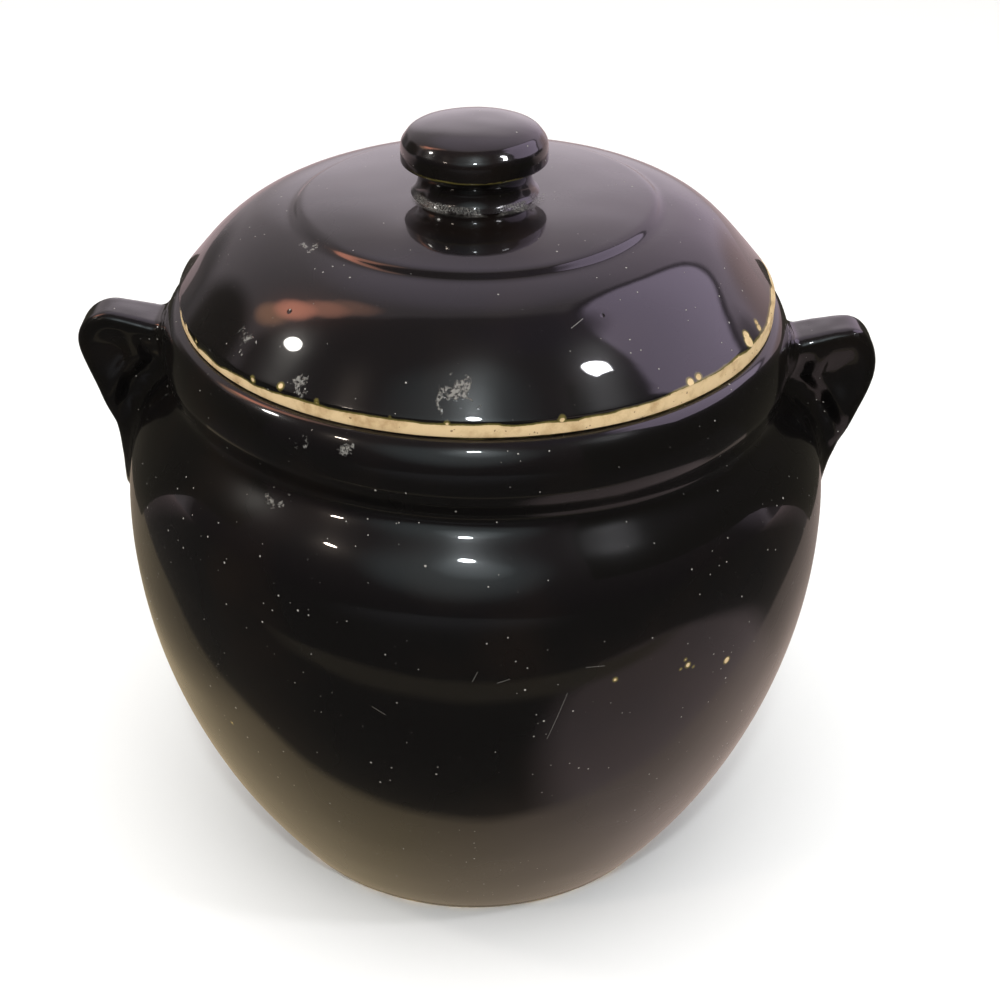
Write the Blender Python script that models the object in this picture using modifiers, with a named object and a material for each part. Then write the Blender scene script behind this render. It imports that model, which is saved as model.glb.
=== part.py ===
"""Two-eared stoneware bean pot with a domed lid and a mushroom knob, in metres, +Z up, on the plane Z = 0."""

import math

import bmesh
import bpy
from mathutils import Matrix, Vector
from mathutils.geometry import interpolate_bezier

# Pot, from the foot upwards
FOOT_RADIUS = 0.0612
FOOT_RING_WIDTH = 0.0095
FOOT_RECESS = 0.0022
FOOT_ROUND = 0.0012
FLOOR_THICKNESS = 0.0070
WALL = 0.0065
BELLY_RADIUS = 0.0950
BELLY_HEIGHT = 0.1010
SHOULDER_RISE = 0.0386
NECK_RADIUS = 0.0788
COLLAR_BULGE = 0.0038
COLLAR_HEIGHT = 0.0211
RIM_ROUND = 0.0026

# Lid, from its seat upwards
SEAT_GAP = 0.0003
LID_SEAT_WIDTH = 0.0049
LID_BAND_HEIGHT = 0.0042
LID_DOME_RISE = 0.0214
LID_EDGE_SLOPE = math.radians(50)
LID_CROWN_SLOPE = math.radians(10)
LID_WALL = 0.0055
STEP_RADIUS = 0.0465
STEP_WIDTH = 0.0022
STEP_HEIGHT = 0.0018
DISC_CROWN = 0.0017
KNOB_SEAT_RADIUS = 0.0175
FLANGE_CLEARANCE = 0.0015
FLANGE_THICKNESS = 0.0050
FLANGE_DEPTH = 0.0080

# Knob, from the top of the lid upwards
KNOB_RADIUS = 0.0187
KNOB_FOOT_RADIUS = 0.0165
KNOB_WAIST_RADIUS = 0.0144
KNOB_STEM_HEIGHT = 0.0080
KNOB_CAP_HEIGHT = 0.0088
KNOB_CROWN_RISE = 0.0016

# Ears
EAR_REACH = 0.0116
EAR_LEFT_DROP = 0.0027
EAR_RIGHT_DROP = 0.0050
EAR_TIP_DROP = 0.0125
EAR_HEIGHT = 0.0530
EAR_THICKNESS = 0.0160
EAR_TIP_THICKNESS = 0.0115
EAR_EDGE_ROUND = 0.0048
EAR_DISH_DEPTH = 0.0012
EAR_SLIP_GAP = 0.0003

# Facets
TURNS = 64
KNOB_TURNS = 32
CURVE_POINTS = 9

# Heights and radii that follow from the sizes above
NECK_HEIGHT = BELLY_HEIGHT + SHOULDER_RISE
RIM_HEIGHT = NECK_HEIGHT + COLLAR_HEIGHT
MOUTH_RADIUS = NECK_RADIUS - WALL
SEAT_HEIGHT = RIM_HEIGHT + SEAT_GAP
LID_RADIUS = MOUTH_RADIUS + LID_SEAT_WIDTH
LID_TOP = LID_BAND_HEIGHT + LID_DOME_RISE + STEP_HEIGHT + DISC_CROWN


def clear_scene():
    """Removes the objects that the file starts with."""
    for thing in list(bpy.data.objects):
        bpy.data.objects.remove(thing, do_unlink=True)


def new_collection(name):
    group = bpy.data.collections.new(name)
    bpy.context.scene.collection.children.link(group)
    return group


def material(name, color, roughness):
    """A plain dielectric in linear colour, smooth for glaze and rough for bare clay."""
    made = bpy.data.materials.new(name)
    made.use_nodes = True
    shader = made.node_tree.nodes["Principled BSDF"]
    shader.inputs["Base Color"].default_value = (*color, 1)
    shader.inputs["Roughness"].default_value = roughness
    made.diffuse_color = (*color, 1)
    return made


def empty(name, height, group):
    """A parent for what moves together, on the pot's axis."""
    holder = bpy.data.objects.new(name, None)
    holder.location.z = height
    holder.empty_display_size = 0.02
    group.objects.link(holder)
    return holder


def stretch(start, leaving, arriving, end, points=CURVE_POINTS):
    """One Bezier stretch of a profile, without its first point."""
    start, end = Vector(start), Vector(end)
    curve = interpolate_bezier(start, start + Vector(leaving), end - Vector(arriving), end, points)
    return [Vector(point[:2]) for point in curve[1:]]


def polar(length, angle):
    """A step of this length in the (radius, height) plane, at an angle above the outward direction."""
    return (length * math.cos(angle), length * math.sin(angle))


def turned(name, profile, turns, look, group):
    """A solid of revolution about Z. The profile runs down its outer side, from one point on the axis to another."""
    mesh = bpy.data.meshes.new(name)
    points = [(radius, 0, height) for radius, height in profile]
    mesh.from_pydata(points, [(i, i + 1) for i in range(len(points) - 1)], [])
    thing = bpy.data.objects.new(name, mesh)
    group.objects.link(thing)
    thing.data.materials.append(look)
    screw = thing.modifiers.new("Turn", "SCREW")
    screw.steps = turns
    screw.render_steps = turns
    screw.use_merge_vertices = True
    screw.merge_threshold = 0.00002
    screw.use_smooth_shade = True
    return thing


def pot_outside():
    """The pot's outer profile, from the rim's outer edge down to the foot."""
    rim = (MOUTH_RADIUS + LID_SEAT_WIDTH, RIM_HEIGHT)
    collar = (NECK_RADIUS + COLLAR_BULGE, NECK_HEIGHT + 0.45 * COLLAR_HEIGHT)
    neck = (NECK_RADIUS, NECK_HEIGHT)
    belly = (BELLY_RADIUS, BELLY_HEIGHT)
    foot = (FOOT_RADIUS, FOOT_ROUND)
    span = BELLY_RADIUS - FOOT_RADIUS
    line = [Vector(rim)]
    line += stretch(rim, (RIM_ROUND, 0), (0, -0.33 * COLLAR_HEIGHT), collar)
    line += stretch(collar, (0, -0.3 * COLLAR_HEIGHT), (-0.7 * COLLAR_BULGE, -0.4 * COLLAR_BULGE), neck, 6)
    line += stretch(neck, polar(0.36 * SHOULDER_RISE, math.radians(-28)), (0, -0.5 * SHOULDER_RISE), belly, 11)
    line += stretch(belly, (0, -0.5 * BELLY_HEIGHT), (-0.22 * span, -0.1 * BELLY_HEIGHT), foot, 13)
    line += stretch(foot, (-0.2 * FOOT_ROUND, -0.6 * FOOT_ROUND), (-0.6 * FOOT_ROUND, 0), (FOOT_RADIUS - FOOT_ROUND, 0), 3)
    return line


def pot_inside():
    """The pot's inner profile, from the middle of the floor up to the rim's inner edge."""
    floor = FOOT_RECESS + FLOOR_THICKNESS
    belly = (BELLY_RADIUS - WALL, BELLY_HEIGHT)
    throat = (MOUTH_RADIUS, NECK_HEIGHT)
    corner = (FOOT_RADIUS - WALL, floor)
    line = [Vector((0, floor)), Vector(corner)]
    line += stretch(corner, (1.35 * WALL, 0.3 * WALL), (0, 0.55 * (BELLY_HEIGHT - floor)), belly, 12)
    line += stretch(belly, (0, 0.45 * SHOULDER_RISE), (-0.15 * WALL, 0.4 * SHOULDER_RISE), throat)
    line.append(Vector((MOUTH_RADIUS, RIM_HEIGHT - 0.2 * RIM_ROUND)))
    line.append(Vector((MOUTH_RADIUS + 0.2 * RIM_ROUND, RIM_HEIGHT)))
    return line


def pot_body(look, group):
    """The thrown pot: a thick wall, a plain throat for the lid's flange, a flat rim and a shallow foot ring."""
    ring = FOOT_RADIUS - FOOT_ROUND - FOOT_RING_WIDTH
    under = [Vector((ring, 0)), Vector((ring - FOOT_RECESS, FOOT_RECESS)), Vector((0, FOOT_RECESS))]
    return turned("pot_body", pot_inside() + pot_outside() + under, TURNS, look, group)


def grown(line, distance):
    """The profile moved outwards along its own normals."""
    moved = []
    for index, point in enumerate(line):
        before = line[max(index - 1, 0)]
        after = line[min(index + 1, len(line) - 1)]
        along = (after - before).normalized()
        moved.append(point + distance * Vector((-along.y, along.x)))
    return moved


def pot_envelope(group):
    """The space that the pot fills with its mouth closed, larger by the slip gap. It trims the ears."""
    skin = grown(pot_outside(), EAR_SLIP_GAP)
    top = Vector((0, skin[0].y))
    bottom = Vector((0, skin[-1].y))
    cutter = turned("pot_envelope", [top] + skin + [bottom], TURNS, bpy.data.materials["glazed_pot"], group)
    cutter.hide_render = True
    cutter.display_type = "WIRE"
    return cutter


def ear_outline(name, top):
    """The ear's side view as a filled curve: local X is the reach from the pot's axis and local Y the height."""
    tip = (BELLY_RADIUS + EAR_REACH, top - EAR_TIP_DROP)
    bottom = top - EAR_HEIGHT
    root = MOUTH_RADIUS + 0.4 * WALL
    crown = (tip[0] - 0.85 * EAR_TIP_DROP, top)
    flank = (tip[0] - 0.72 * EAR_REACH, bottom + 0.23 * EAR_HEIGHT)
    tail = (BELLY_RADIUS - 0.5 * WALL, bottom)
    # Each point has its place and the steps to its two handles.
    points = [
        ((root, top - 0.26 * EAR_TIP_DROP), (0, 0), (0, 0)),
        (crown, (-0.8 * EAR_TIP_DROP, 0), (0.55 * EAR_TIP_DROP, 0)),
        (tip, (0, 0.5 * EAR_TIP_DROP), (0, -0.14 * EAR_HEIGHT)),
        (flank, (0.2 * EAR_REACH, 0.16 * EAR_HEIGHT), (-0.2 * EAR_REACH, -0.1 * EAR_HEIGHT)),
        (tail, (0, 0), (0, 0)),
        ((root, bottom), (0, 0), (0, 0)),
    ]
    curve = bpy.data.curves.new(name, "CURVE")
    curve.dimensions = "2D"
    curve.fill_mode = "BOTH"
    curve.resolution_u = 7
    spline = curve.splines.new("BEZIER")
    spline.bezier_points.add(len(points) - 1)
    spline.use_cyclic_u = True
    for knot, (place, before, after) in zip(spline.bezier_points, points):
        knot.handle_left_type = "FREE"
        knot.handle_right_type = "FREE"
        knot.co = (*place, 0)
        knot.handle_left = (place[0] + before[0], place[1] + before[1], 0)
        knot.handle_right = (place[0] + after[0], place[1] + after[1], 0)
    edge = min(EAR_EDGE_ROUND, 0.45 * EAR_THICKNESS)
    curve.extrude = EAR_THICKNESS / 2 - edge
    curve.bevel_depth = edge
    curve.bevel_resolution = 3
    curve.offset = -edge
    return curve


def ear_blank(name, top, look, group):
    """An untrimmed ear on +X: the outline made solid, stood upright, thinned to its tip and welded."""
    thing = bpy.data.objects.new(name, ear_outline(name, top))
    group.objects.link(thing)
    bpy.context.view_layer.update()
    solid = bpy.data.meshes.new_from_object(thing.evaluated_get(bpy.context.evaluated_depsgraph_get()))
    bpy.data.objects.remove(thing, do_unlink=True)
    solid.name = name
    solid.transform(Matrix.Rotation(math.pi / 2, 4, "X"))
    reach = BELLY_RADIUS + EAR_REACH - NECK_RADIUS
    form = bmesh.new()
    form.from_mesh(solid)
    bmesh.ops.remove_doubles(form, verts=form.verts, dist=0.00001)
    for vertex in form.verts:
        out = min(max((vertex.co.x - NECK_RADIUS) / reach, 0), 1)
        vertex.co.y *= 1 + out * (EAR_TIP_THICKNESS / EAR_THICKNESS - 1)
    bmesh.ops.recalc_face_normals(form, faces=form.faces)
    form.to_mesh(solid)
    form.free()
    solid.materials.clear()
    ear = bpy.data.objects.new(name, solid)
    group.objects.link(ear)
    ear.data.materials.append(look)
    return ear


def dish_cutter(name, side, group):
    """A wide flat ellipsoid that scoops a thumb's dish out of one face of an ear. side is -1 or 1 along Y."""
    middle = RIM_HEIGHT - (EAR_LEFT_DROP + EAR_RIGHT_DROP + EAR_HEIGHT) / 2
    radius = 0.4 * EAR_HEIGHT
    face = (EAR_THICKNESS + EAR_TIP_THICKNESS) / 4
    bpy.ops.mesh.primitive_uv_sphere_add(segments=28, ring_count=14, radius=1)
    cutter = bpy.context.object
    cutter.name = name
    cutter.data.transform(Matrix.Diagonal((radius, 2.5 * EAR_DISH_DEPTH, radius, 1)))
    cutter.location = (BELLY_RADIUS, side * (face + 1.5 * EAR_DISH_DEPTH), middle)
    for old in list(cutter.users_collection):
        old.objects.unlink(cutter)
    group.objects.link(cutter)
    cutter.hide_render = True
    cutter.display_type = "WIRE"
    return cutter


def ear(name, turn, drop, cutters, look, group):
    """One lug ear, trimmed to the pot. turn is its angle about the pot's axis and drop its depth below the rim."""
    made = ear_blank(name, RIM_HEIGHT - drop, look, group)
    for cutter in cutters:
        cut = made.modifiers.new(cutter.name, "BOOLEAN")
        cut.operation = "DIFFERENCE"
        cut.solver = "EXACT"
        cut.object = cutter
    made.rotation_euler.z = turn
    made.data.shade_smooth()
    return made


def lid(look, group):
    """The thrown lid: a bare band at its edge, a dome, a raised disc, and a flange that drops into the throat."""
    edge = (LID_RADIUS, LID_BAND_HEIGHT)
    foot = (STEP_RADIUS, LID_BAND_HEIGHT + LID_DOME_RISE)
    disc = (STEP_RADIUS - STEP_WIDTH, LID_TOP - DISC_CROWN)
    seat = (KNOB_SEAT_RADIUS, LID_TOP)
    reach = 0.48 * (LID_RADIUS - STEP_RADIUS)
    uphill = polar(reach, math.pi - LID_CROWN_SLOPE)
    downhill = polar(reach, -LID_EDGE_SLOPE)
    line = [Vector((0, LID_TOP)), Vector(seat)]
    line += stretch(seat, (0.4 * STEP_RADIUS, 0), (0.1 * STEP_RADIUS, -0.3 * DISC_CROWN), disc, 5)
    line += stretch(disc, (0.5 * STEP_WIDTH, 0), (0.4 * STEP_WIDTH, -0.2 * STEP_HEIGHT), foot, 5)
    line += stretch(foot, (-uphill[0], -uphill[1]), downhill, edge, 10)
    line.append(Vector((LID_RADIUS, 0)))
    outer = MOUTH_RADIUS - FLANGE_CLEARANCE
    inner = outer - FLANGE_THICKNESS
    line += [Vector((outer, 0)), Vector((outer - 0.1 * FLANGE_THICKNESS, -FLANGE_DEPTH)), Vector((inner, -FLANGE_DEPTH))]
    hollow = (inner, LID_BAND_HEIGHT)
    ceiling = (0, LID_TOP - LID_WALL)
    line.append(Vector(hollow))
    climb = ceiling[1] - hollow[1]
    line += stretch(hollow, (-0.1 * inner, 0.95 * climb), (-0.5 * inner, 0), ceiling, 10)
    return turned("lid", line, TURNS, look, group)


def lid_knob(look, group):
    """The mushroom knob: a flared foot, a drawn-in stem and a thick cap with a soft crown."""
    cap = KNOB_STEM_HEIGHT + KNOB_CAP_HEIGHT
    shoulder = (0.62 * KNOB_RADIUS, cap)
    widest = (KNOB_RADIUS, KNOB_STEM_HEIGHT)
    waist = (KNOB_WAIST_RADIUS, 0.5 * KNOB_STEM_HEIGHT)
    foot = (KNOB_FOOT_RADIUS, 0)
    line = [Vector((0, cap + KNOB_CROWN_RISE))]
    line += stretch(line[0], (0.3 * KNOB_RADIUS, 0), (0.2 * KNOB_RADIUS, -0.7 * KNOB_CROWN_RISE), shoulder, 5)
    line += stretch(shoulder, (0.25 * KNOB_RADIUS, -0.1 * KNOB_CAP_HEIGHT), (0, -0.6 * KNOB_CAP_HEIGHT), widest, 8)
    line += stretch(widest, (0, -0.2 * KNOB_STEM_HEIGHT), (0, -0.2 * KNOB_STEM_HEIGHT), waist, 6)
    line += stretch(waist, (0, -0.2 * KNOB_STEM_HEIGHT), (0, -0.2 * KNOB_STEM_HEIGHT), foot, 4)
    line.append(Vector((0, 0)))
    return turned("lid_knob", line, KNOB_TURNS, look, group)


def main():
    clear_scene()
    bean_pot = new_collection("bean_pot")
    cutters = new_collection("cutters")
    cutters.hide_render = True

    # Colours are linear
    glazed_pot = material("glazed_pot", (0.017, 0.012, 0.010), 0.12)
    glazed_ear_left = material("glazed_ear_left", (0.017, 0.012, 0.010), 0.14)
    glazed_ear_right = material("glazed_ear_right", (0.017, 0.012, 0.010), 0.14)
    glazed_lid = material("glazed_lid", (0.019, 0.013, 0.011), 0.11)
    glazed_knob = material("glazed_knob", (0.016, 0.011, 0.010), 0.13)

    pot = empty("pot", 0, bean_pot)
    pot_body(glazed_pot, bean_pot).parent = pot
    trims = [pot_envelope(cutters), dish_cutter("dish_front", -1, cutters), dish_cutter("dish_back", 1, cutters)]
    ear("ear_right", 0, EAR_RIGHT_DROP, trims, glazed_ear_right, bean_pot).parent = pot
    ear("ear_left", math.pi, EAR_LEFT_DROP, trims, glazed_ear_left, bean_pot).parent = pot

    # The lid lifts straight up along the pot's axis
    lift = empty("lid_lift", SEAT_HEIGHT, bean_pot)
    lid(glazed_lid, bean_pot).parent = lift
    knob = lid_knob(glazed_knob, bean_pot)
    knob.parent = lift
    knob.location.z = LID_TOP + SEAT_GAP


main()
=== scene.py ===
"""Dresses the two-eared bean pot: dark slip glaze, bare clay, and a plain studio. Metres, +Z up."""

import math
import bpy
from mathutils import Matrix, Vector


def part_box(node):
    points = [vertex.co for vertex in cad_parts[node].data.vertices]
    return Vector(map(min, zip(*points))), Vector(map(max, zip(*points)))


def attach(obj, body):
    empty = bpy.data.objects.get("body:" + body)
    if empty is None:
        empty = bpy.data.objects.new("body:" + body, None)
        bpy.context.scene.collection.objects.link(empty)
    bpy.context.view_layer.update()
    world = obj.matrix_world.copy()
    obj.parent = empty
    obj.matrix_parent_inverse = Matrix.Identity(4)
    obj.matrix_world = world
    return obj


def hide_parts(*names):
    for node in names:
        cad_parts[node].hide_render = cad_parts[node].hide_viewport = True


bl_info = {
    "name": "Bean Pot",
    "version": (1, 0, 0),
    "blender": (4, 5, 0),
    "location": "3D View > Sidebar > Bean Pot",
    "description": "Models a glazed stoneware bean pot over its plain solids",
    "category": "Object",
}

import bpy
import numpy as np
from bpy.props import FloatProperty, FloatVectorProperty, IntProperty, PointerProperty
from bpy.types import Operator, Panel, PropertyGroup
from mathutils import Matrix, Quaternion, Vector, geometry, noise

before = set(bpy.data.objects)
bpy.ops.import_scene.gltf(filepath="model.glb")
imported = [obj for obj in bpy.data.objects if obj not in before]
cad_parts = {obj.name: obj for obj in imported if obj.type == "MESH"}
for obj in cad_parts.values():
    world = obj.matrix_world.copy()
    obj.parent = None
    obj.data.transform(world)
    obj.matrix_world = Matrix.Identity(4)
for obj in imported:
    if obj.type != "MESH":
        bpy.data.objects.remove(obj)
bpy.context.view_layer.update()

MM = 0.001
POT_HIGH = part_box("pot_body")[1]
LID_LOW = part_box("lid")[0]
KNOB_LOW, KNOB_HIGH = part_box("lid_knob")
BELLY = POT_HIGH.y
RIM = POT_HIGH.z
# Points of a mesh closer than this are made one
WELD = 0.00001
# Faces round the knob, which is much smaller than the pot
KNOB_TURNS = 200


def from_hex(code):
    """The linear colour of an sRGB hex value."""
    parts = [int(code[i : i + 2], 16) / 255 for i in (1, 3, 5)]
    return [part / 12.92 if part <= 0.04045 else ((part + 0.055) / 1.055) ** 2.4 for part in parts]


def length(name, value, description):
    return FloatProperty(name=name, description=description, default=value, min=0, unit="LENGTH", precision=4)


def colour(name, code, description):
    return FloatVectorProperty(
        name=name, description=description, default=from_hex(code), size=3, min=0, max=1, subtype="COLOR"
    )


class PotSizes(PropertyGroup):
    """The thrown pot, from the foot upwards."""

    foot: length("Foot radius", 0.0612, "Outer radius of the foot")
    belly_height: length("Belly height", 0.1010, "Height of the widest place")
    neck_height: length("Neck height", 0.1396, "Height of the groove under the collar")
    neck: length("Neck radius", 0.0788, "Radius at the groove under the collar")
    collar: length("Collar radius", 0.0826, "Largest radius of the collar")
    mouth: length("Mouth radius", 0.0723, "Radius of the throat")
    seat: length("Seat radius", 0.0772, "Radius at which the rim starts to round over")
    wall: length("Wall", 0.0065, "Thickness of the wall at the belly")
    groove_tilt: length("Groove tilt", 0.0014, "How far the groove runs up on the left and down on the right")


class LidSizes(PropertyGroup):
    """The thrown lid, from its seat upwards."""

    radius: length("Radius", 0.0772, "Radius of the bare edge")
    band: length("Band", 0.0042, "Height of the bare edge")
    dome: length("Dome", 0.0210, "Rise of the dome from the band to the raised disc")
    disc: length("Disc radius", 0.0476, "Radius of the raised disc at its foot")
    step: length("Step", 0.0018, "Height of the disc's step")
    crown: length("Crown", 0.0021, "Rise of the disc from its edge to the knob")
    flange: length("Flange depth", 0.0080, "How far the flange drops into the throat")
    hollow: length("Hollow radius", 0.0658, "Radius inside the flange")
    wall: length("Wall", 0.0055, "Thickness under the knob")
    lean: length("Lean", 0.0014, "How much lower the dome is on the left than on the right, at the edge")


class KnobSizes(PropertyGroup):
    """The mushroom knob, from the lid upwards."""

    cap: length("Cap radius", 0.0187, "Radius at the cap's lower edge")
    waist: length("Waist radius", 0.0144, "Radius of the stem where it is thinnest")
    foot: length("Foot radius", 0.0160, "Radius where the stem meets the lid")
    stem: length("Stem", 0.0080, "Height of the stem")


class EarSizes(PropertyGroup):
    """The two lug ears."""

    thickness: length("Thickness", 0.0160, "Thickness at the root")
    tip: length("Tip thickness", 0.0115, "Thickness at the tip")
    edge: length("Edge", 0.0028, "Rounding of an ear's edges")
    dish: length("Dish", 0.0014, "Depth of the thumbed hollow in each face")
    join: length("Join", 0.0030, "Radius of the smeared join at the wall")


class Finish(PropertyGroup):
    """The colours of the glaze, the clay and the floor."""

    glaze: colour("Glaze", "#070606", "Dark iron slip glaze where it lies thick")
    glaze_thin: colour("Thin glaze", "#130c08", "The same glaze where it has run thin")
    glaze_break: colour("Breaking glaze", "#7d7236", "The glaze where it breaks over a sharp edge")
    clay: colour("Clay", "#c7ae86", "Bare buff stoneware")
    clay_dark: colour("Stained clay", "#9b7d55", "Bare stoneware where it is stained")
    iron: colour("Iron specks", "#4a3018", "Specks of iron in the bare stoneware")
    mineral: colour("Mineral film", "#8f8c86", "Lime and dust on worn glaze")
    floor: colour("Floor", "#f1f0ee", "Studio paper")


class BeanPotSettings(PropertyGroup):
    """All sizes and colours of the bean pot."""

    pot: PointerProperty(type=PotSizes, name="Pot", description="Sizes of the pot")
    lid: PointerProperty(type=LidSizes, name="Lid", description="Sizes of the lid")
    knob: PointerProperty(type=KnobSizes, name="Knob", description="Sizes of the knob")
    ear: PointerProperty(type=EarSizes, name="Ears", description="Sizes of the two ears")
    finish: PointerProperty(type=Finish, name="Finish", description="Colours of the glaze, the clay and the floor")
    turns: IntProperty(name="Turns", description="Faces round the pot", default=360, min=64, max=480)


# Modelling


def clear_selection():
    bpy.ops.object.select_all(action="DESELECT")


def set_knots(spline, knots, upright):
    """Bends a spline to its knots. Each knot is its place, then the steps to its two handles, in mm."""
    spline.bezier_points.add(len(knots) - len(spline.bezier_points))
    for point, knot in zip(spline.bezier_points, knots):
        place, arriving, leaving = (Vector((x, 0, z) if upright else (x, z, 0)) * MM for x, z in knot)
        point.handle_left_type = "FREE"
        point.handle_right_type = "FREE"
        point.co = place
        point.handle_left = point.co + arriving
        point.handle_right = point.co + leaving


def draw_section(name, knots, spacing):
    """Half a section on +X as a curve, cut into steps of about the spacing."""
    clear_selection()
    bpy.ops.curve.primitive_bezier_curve_add(location=(0, 0, 0))
    line = bpy.context.object
    line.name = name
    spline = line.data.splines[0]
    set_knots(spline, knots, upright=True)
    steps = 4
    line.data.resolution_u = steps
    places = [point.co.copy() for point in spline.bezier_points]
    for i in reversed(range(len(knots) - 1)):
        cuts = math.ceil((places[i + 1] - places[i]).length / (steps * spacing)) - 1
        if cuts < 1:
            continue
        for j, point in enumerate(spline.bezier_points):
            chosen = j in (i, i + 1)
            point.select_control_point = chosen
            point.select_left_handle = chosen
            point.select_right_handle = chosen
        bpy.ops.object.mode_set(mode="EDIT")
        bpy.ops.curve.subdivide(number_cuts=cuts)
        bpy.ops.object.mode_set(mode="OBJECT")
        spline = line.data.splines[0]
    return line


def outline_of(line):
    """The curve's points as an array of radius and height, in metres."""
    shape = line.to_mesh()
    flat = np.array([(vertex.co.x, vertex.co.z) for vertex in shape.vertices])
    line.to_mesh_clear()
    return flat


def throw(line, turns):
    """Turns a section round the pot's axis, as on the wheel, into a closed, smooth mesh."""
    bpy.context.view_layer.objects.active = line
    bpy.ops.object.convert(target="MESH")
    thing = bpy.context.object
    wheel = thing.modifiers.new("Wheel", "SCREW")
    wheel.steps = turns
    wheel.render_steps = turns
    wheel.use_merge_vertices = True
    wheel.merge_threshold = WELD
    bpy.ops.object.modifier_apply(modifier=wheel.name)
    bpy.ops.object.mode_set(mode="EDIT")
    bpy.ops.mesh.select_all(action="SELECT")
    bpy.ops.mesh.remove_doubles(threshold=WELD)
    bpy.ops.mesh.normals_make_consistent(inside=False)
    bpy.ops.object.mode_set(mode="OBJECT")
    bpy.ops.object.shade_smooth()
    return thing


def roughen(thing, name, grain, height):
    """Pushes the surface in and out by a soft cloud pattern, as hands and firing leave it."""
    cloud = bpy.data.textures.new(name, "CLOUDS")
    cloud.noise_scale = grain
    cloud.noise_depth = 1
    push = thing.modifiers.new(name, "DISPLACE")
    push.texture = cloud
    push.texture_coords = "LOCAL"
    push.strength = height
    push.mid_level = 0.5
    bpy.context.view_layer.objects.active = thing
    bpy.ops.object.modifier_apply(modifier=name)


def points_of(thing):
    flat = np.empty(len(thing.data.vertices) * 3)
    thing.data.vertices.foreach_get("co", flat)
    return flat.reshape(-1, 3)


def put_points(thing, points):
    thing.data.vertices.foreach_set("co", np.asarray(points, np.float32).ravel())
    thing.data.update()


def smooth_step(value, low, high):
    share = np.clip((value - low) / (high - low), 0, 1)
    return share * share * (3 - 2 * share)


def tilt_groove(points, sizes):
    """Runs the groove up on the left and down on the right, fading to nothing at the rim and the belly."""
    moved = points.copy()
    spread = 0.013
    fade = np.exp(-(((points[:, 2] - sizes.neck_height) / spread) ** 2))
    moved[:, 2] -= sizes.groove_tilt * points[:, 0] / sizes.neck * fade
    return moved


def pot_knots(sizes):
    """The pot's section from the middle of the floor, up the inside, over the rim and down to the foot."""
    foot, belly, wall = sizes.foot / MM, BELLY / MM - 0.1, sizes.wall / MM
    mid, neck_height, rim = sizes.belly_height / MM, sizes.neck_height / MM, RIM / MM
    neck, collar, mouth, seat = sizes.neck / MM, sizes.collar / MM, sizes.mouth / MM, sizes.seat / MM
    inner = belly - wall
    rise = neck_height - mid
    bottom, recess = 9.2, 2.2
    return [
        ((0, bottom), (0, 0), (12, 0)),
        ((foot - wall, bottom), (-12, -0.4), (8.8, 2.0)),
        ((inner, mid), (0, -50.5), (0, 0.45 * rise)),
        ((mouth, neck_height), (1.0, -0.4 * rise), (0, 4)),
        ((mouth, rim - 0.9), (0, -4), (0, 0.5)),
        ((mouth + 0.9, rim), (-0.5, 0), (1, 0)),
        ((seat, rim), (-1, 0), (2.6, 0)),
        ((collar, neck_height + 9.5), (0, 7.0), (0, -2.0)),
        ((neck + 2.0, neck_height + 1.6), (0, 2.0), (0, -2.6)),
        ((neck + 8.1, neck_height - 6.3), (-2.75, 3.2), (6.1, -7.1)),
        ((belly, mid), (0, 0.375 * rise), (0, -0.49 * mid)),
        ((foot, 1.4), (7.4, 10.0), (-0.3, -0.8)),
        ((foot - 1.4, 0), (0.8, 0), (-3, 0)),
        ((50.5, 0), (3, 0), (-0.6, 0)),
        ((48.3, recess), (0.6, -0.7), (-8, 0)),
        ((0, recess), (12, 0), (0, 0)),
    ]


# The knots of the pot's outside, from the rim down to the foot
OUTSIDE = slice(6, 12)


def wall_distance(points, outline):
    """How far each point lies outside the pot's outer section, and the way out there."""
    radius = np.hypot(points[:, 0], points[:, 1])
    place = np.stack([radius, points[:, 2]], 1)
    start, along = outline[:-1], np.diff(outline, axis=0)
    best = np.full(len(place), 1e9)
    out = np.zeros((len(place), 2))
    for a, d in zip(start, along):
        share = np.clip(((place - a) @ d) / (d @ d), 0, 1)
        gap = place - (a + share[:, None] * d)
        size = np.hypot(gap[:, 0], gap[:, 1])
        side = np.array([-d[1], d[0]]) / np.hypot(*d)
        nearer = size < np.abs(best)
        best[nearer] = (size * np.sign(gap @ side))[nearer]
        out[nearer] = side
    turn = points[:, :2] / np.maximum(radius, 1e-9)[:, None]
    return best, np.concatenate([out[:, :1] * turn, out[:, 1:]], 1)


class BEANPOT_OT_pot(Operator):
    """Throws the pot: wall, collar, rim, throat and foot"""

    bl_idname = "bean_pot.pot"
    bl_label = "Pot"

    def execute(self, context):
        settings = context.scene.bean_pot
        line = draw_section("glazed_pot", pot_knots(settings.pot), spacing=2.0 * MM)
        pot = throw(line, settings.turns)
        roughen(pot, "pot_unevenness", grain=0.028, height=0.00030)
        points = tilt_groove(points_of(pot), settings.pot)
        # Its foot was rubbed level
        points[:, 2] = np.maximum(points[:, 2], 0)
        put_points(pot, points)
        pot.data.materials.append(slip_glaze("dark_slip_glaze_pot", settings.finish, pot_bare_line))
        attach(pot, "pot")
        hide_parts("pot_body")
        return {"FINISHED"}


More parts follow.
